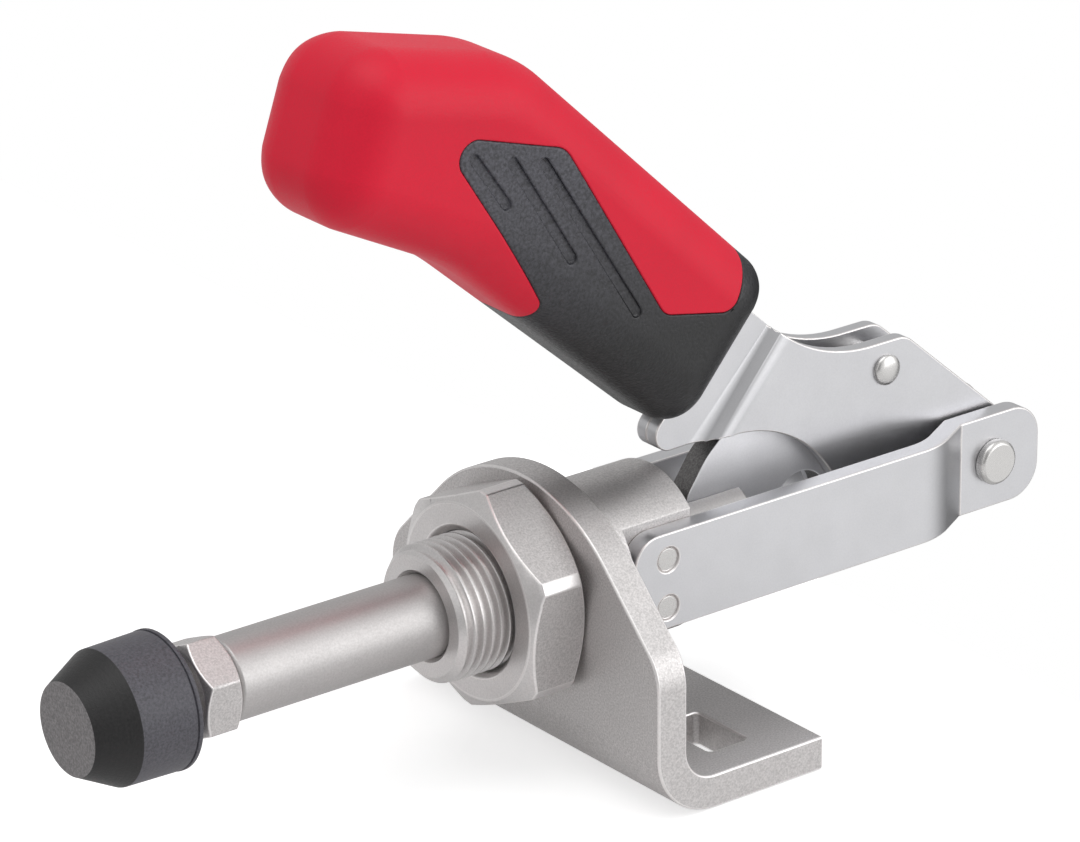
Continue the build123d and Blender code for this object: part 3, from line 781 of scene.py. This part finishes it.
class CLAMP_OT_pins(bpy.types.Operator):
    """Dresses the pins and the flush rivets, and turns the stop rivet with its domed heads"""

    bl_idname = "clamp.pins"
    bl_label = "Pins and rivets"

    def execute(self, context):
        edges = context.scene.clamp_edges
        rivet = context.scene.clamp_rivet
        for node in frame["nodes"]:
            if slot_of_node(node) == "pin_steel" and node != "stop_rivet":
                dress(node, edges.turned, edges.turned_steps, finish_named(bright_pin))
        low, high = corners_of("stop_rivet")
        face = (high.y - low.y) / 2 - rivet.head_height
        dome = rivet.head_height - rivet.rim
        half = [(face + rivet.rim + dome * math.cos(angle), rivet.head * math.sin(angle))
                for angle in (math.pi / 2 * step / DOME_STEPS for step in range(DOME_STEPS + 1))]
        half += [(face, rivet.head), (face, rivet.shank), (rivet.shoulder_half, rivet.shank),
                 (rivet.shoulder_half, rivet.shoulder)]
        profile = half + [(-along, radius) for along, radius in reversed(half)]
        mesh = turned(profile, (low + high) / 2, (0, 1, 0), rivet.steps)
        new_piece(mesh, "stop_rivet", finish_named(bright_pin))
        return {"FINISHED"}


class CLAMP_OT_plunger(bpy.types.Operator):
    """Dresses the plunger and the pressure screw"""

    bl_idname = "clamp.plunger"
    bl_label = "Plunger"

    def execute(self, context):
        edges = context.scene.clamp_edges
        for node in ("plunger_rod", "pressure_screw"):
            dress(node, edges.turned, edges.turned_steps, finish_named(drawn_steel))
        return {"FINISHED"}


class CLAMP_OT_cap(bpy.types.Operator):
    """Turns the rubber cap, with its crisp cone, its rim and the hollow for the screw"""

    bl_idname = "clamp.cap"
    bl_label = "Pressure cap"

    def execute(self, context):
        cap = context.scene.clamp_cap
        low, high = corners_of("rubber_cap")
        middle = (low + high) / 2
        length = high.x - low.x
        rim = cap.radius + cap.rim_rise
        body = cap.rim + cap.groove
        profile = [(cap.wall + cap.depth, 0), (cap.wall + cap.depth, cap.hollow), (cap.wall, cap.hollow),
                   (cap.wall, cap.neck), (0, cap.neck), (0, rim), (cap.rim, rim), (cap.rim, cap.radius - cap.groove),
                   (body, cap.radius - cap.groove), (body, cap.radius), (length - cap.cone, cap.shoulder),
                   (length, cap.face), (length, 0)]
        mesh = turned(profile, (low.x, middle.y, middle.z), (1, 0, 0), cap.steps)
        break_edges(mesh, cap.edge, context.scene.clamp_edges.turned_steps)
        new_piece(mesh, "rubber_cap", finish_named(cap_rubber))
        return {"FINISHED"}


class CLAMP_OT_grip(bpy.types.Operator):
    """Dresses the soft cover and the hard core of the grip"""

    bl_idname = "clamp.grip"
    bl_label = "Grip"

    def execute(self, context):
        seam = context.scene.clamp_grip.seam
        steps = context.scene.clamp_edges.steps
        dress("grip_cover", seam, steps, finish_named(soft_cover))
        dress("grip_core", seam, steps, finish_named(hard_core))
        return {"FINISHED"}


# ---------------------------------------------------------------- stage

def pale_floor_finish(stage):
    """A pale floor that shows as white where no shadow falls on it, and darker in places to reflections."""
    finish = Finish("pale_floor")
    path = finish.node("LightPath").outputs
    along = finish.along("X")
    direction = finish.node("VectorMath", {0: finish.place()}, operation="NORMALIZE").outputs["Vector"]
    rearward = finish.toward(direction, REAR_SIDE)
    mirror = finish.range(rearward, *TOWARD_REAR, stage.floor_side, stage.floor_rear)
    mirror = finish.calculate("MULTIPLY", mirror, finish.range(along, *AHEAD_OF_CAP, 1, stage.floor_ahead))
    mirrored = finish.calculate("MULTIPLY", path["Is Glossy Ray"], FLOOR_MIRROR)
    seen = finish.calculate("ADD", path["Is Camera Ray"], mirrored)
    lift = finish.range(along, stage.floor_end, stage.floor_end + FLOOR_FADE, 1, FLOOR_LIFT)
    return finish.finished({
        "Base Color": finish.mix(path["Is Glossy Ray"], FLOOR_SHADE, mirror),
        "Roughness": 1,
        "Specular IOR Level": 0,
        "Emission Color": WHITE,
        "Emission Strength": finish.calculate("MULTIPLY", seen, lift),
    })


def light_room(stage):
    """A pale room: white to the camera, even to matt surfaces, and with bright and dark sides in reflections."""
    world = bpy.data.worlds.new("room")
    world.use_nodes = True
    bpy.context.scene.world = world
    room = Nodes(world.node_tree)
    where = room.node("TexCoord").outputs["Generated"]
    mirror = 0
    # Each side: how far a direction points to it at its rim and near its middle, and the light at both
    for side, rim, middle, low, high in (
            (BRIGHT_SIDE, 0.30, 0.95, stage.room_dim, stage.room_bright),
            (FRONT_SIDE, 0.78, 0.99, 0, -stage.room_front),
            (PUSH_SIDE, 0.84, 0.98, 0, stage.room_push),
            (LOW_REAR, 0.74, 0.96, 0, -stage.room_rear)):
        glow = room.range(room.toward(where, side), rim, middle, low, high, interpolation_type="SMOOTHSTEP")
        mirror = room.calculate("ADD", mirror, glow)
    path = room.node("LightPath").outputs
    level = room.mix(path["Is Glossy Ray"], stage.room_light, mirror)
    seen = room.calculate("MAXIMUM", path["Is Camera Ray"], path["Is Transmission Ray"])
    background = room.tree.nodes["Background"].inputs
    room.feed(background["Color"], WHITE)
    room.feed(background["Strength"], room.mix(seen, level, 1))


def soft_lamp(name, place, size, power):
    """A square area lamp that faces the clamp."""
    data = bpy.data.lights.new(name, "AREA")
    data.shape = "SQUARE"
    data.size = size
    data.energy = power
    lamp = bpy.data.objects.new(name, data)
    bpy.context.scene.collection.objects.link(lamp)
    toward = Vector(LAMP_AIM) - Vector(place)
    lamp.matrix_world = Matrix.Translation(place) @ toward.to_track_quat("-Z", "Y").to_matrix().to_4x4()


def lay_floor(stage):
    """A round floor that ends behind the clamp, because the handle swings below it."""
    mesh = bmesh.new()
    bmesh.ops.create_circle(mesh, cap_ends=True, segments=FLOOR_SEGMENTS, radius=stage.floor_size)
    cut_plane(mesh, (stage.floor_end, 0, 0), (1, 0, 0), clear_inner=True)
    data = bpy.data.meshes.new("floor")
    mesh.to_mesh(data)
    mesh.free()
    data.materials.append(pale_floor_finish(stage))
    floor = bpy.data.objects.new("floor", data)
    floor.location = (0, 0, -FLOOR_DROP)
    bpy.context.scene.collection.objects.link(floor)


def set_camera(stage):
    """The camera of the photograph: its place, its turn and its lens."""
    data = bpy.data.cameras.new("camera")
    data.lens = stage.lens
    data.sensor_width = SENSOR_WIDTH
    data.shift_x, data.shift_y = stage.shift
    data.clip_start = CLIP_START
    data.clip_end = CLIP_END
    camera = bpy.data.objects.new("camera", data)
    bpy.context.scene.collection.objects.link(camera)
    turn = stage.azimuth
    tilt = stage.elevation
    back = Vector((math.sin(turn) * math.cos(tilt), -math.cos(turn) * math.cos(tilt), math.sin(tilt)))
    level = Vector((math.cos(turn), math.sin(turn), 0))
    right = level * math.cos(stage.roll) + back.cross(level) * math.sin(stage.roll)
    axes = Matrix((right, back.cross(right), back)).transposed().to_4x4()
    camera.matrix_world = Matrix.Translation(stage.place) @ axes
    bpy.context.scene.camera = camera


class CLAMP_OT_stage(bpy.types.Operator):
    """Sets the floor, the room, the lamps and the camera"""

    bl_idname = "clamp.stage"
    bl_label = "Stage"

    def execute(self, context):
        stage = context.scene.clamp_stage
        lay_floor(stage)
        light_room(stage)
        soft_lamp("top_lamp", TOP_LAMP_PLACE, TOP_LAMP_SIZE, stage.top_power)
        soft_lamp("side_lamp", SIDE_LAMP_PLACE, SIDE_LAMP_SIZE, stage.side_power)
        set_camera(stage)
        context.scene.view_settings.view_transform = "Standard"
        return {"FINISHED"}


class CLAMP_PT_panel(bpy.types.Panel):
    """Shows the settings and the steps that dress the clamp"""

    bl_label = "Toggle clamp"
    bl_space_type = "VIEW_3D"
    bl_region_type = "UI"
    bl_category = "Toggle clamp"

    def draw(self, context):
        scene = context.scene
        for name, group in SETTINGS.items():
            column = self.layout.box().column()
            for key in group.__annotations__:
                column.prop(getattr(scene, name), key)
        for operator in OPERATORS:
            self.layout.operator(operator.bl_idname)


SETTINGS = {
    "clamp_edges": EdgeSettings,
    "clamp_thread": ThreadSettings,
    "clamp_cap": CapSettings,
    "clamp_rivet": RivetSettings,
    "clamp_grip": GripSettings,
    "clamp_finish": FinishSettings,
    "clamp_stage": StageSettings,
}
OPERATORS = (
    CLAMP_OT_bracket,
    CLAMP_OT_guide,
    CLAMP_OT_nuts,
    CLAMP_OT_plates,
    CLAMP_OT_pins,
    CLAMP_OT_plunger,
    CLAMP_OT_cap,
    CLAMP_OT_grip,
    CLAMP_OT_stage,
)


def register():
    for name, group in SETTINGS.items():
        bpy.utils.register_class(group)
        setattr(bpy.types.Scene, name, PointerProperty(type=group))
    for operator in OPERATORS:
        bpy.utils.register_class(operator)
    bpy.utils.register_class(CLAMP_PT_panel)


def unregister():
    bpy.utils.unregister_class(CLAMP_PT_panel)
    for operator in reversed(OPERATORS):
        bpy.utils.unregister_class(operator)
    for name, group in SETTINGS.items():
        delattr(bpy.types.Scene, name)
        bpy.utils.unregister_class(group)


def main():
    register()
    bpy.ops.clamp.bracket()
    bpy.ops.clamp.guide()
    bpy.ops.clamp.nuts()
    bpy.ops.clamp.plates()
    bpy.ops.clamp.pins()
    bpy.ops.clamp.plunger()
    bpy.ops.clamp.cap()
    bpy.ops.clamp.grip()
    bpy.ops.clamp.stage()


if __name__ == "__main__":
    main()
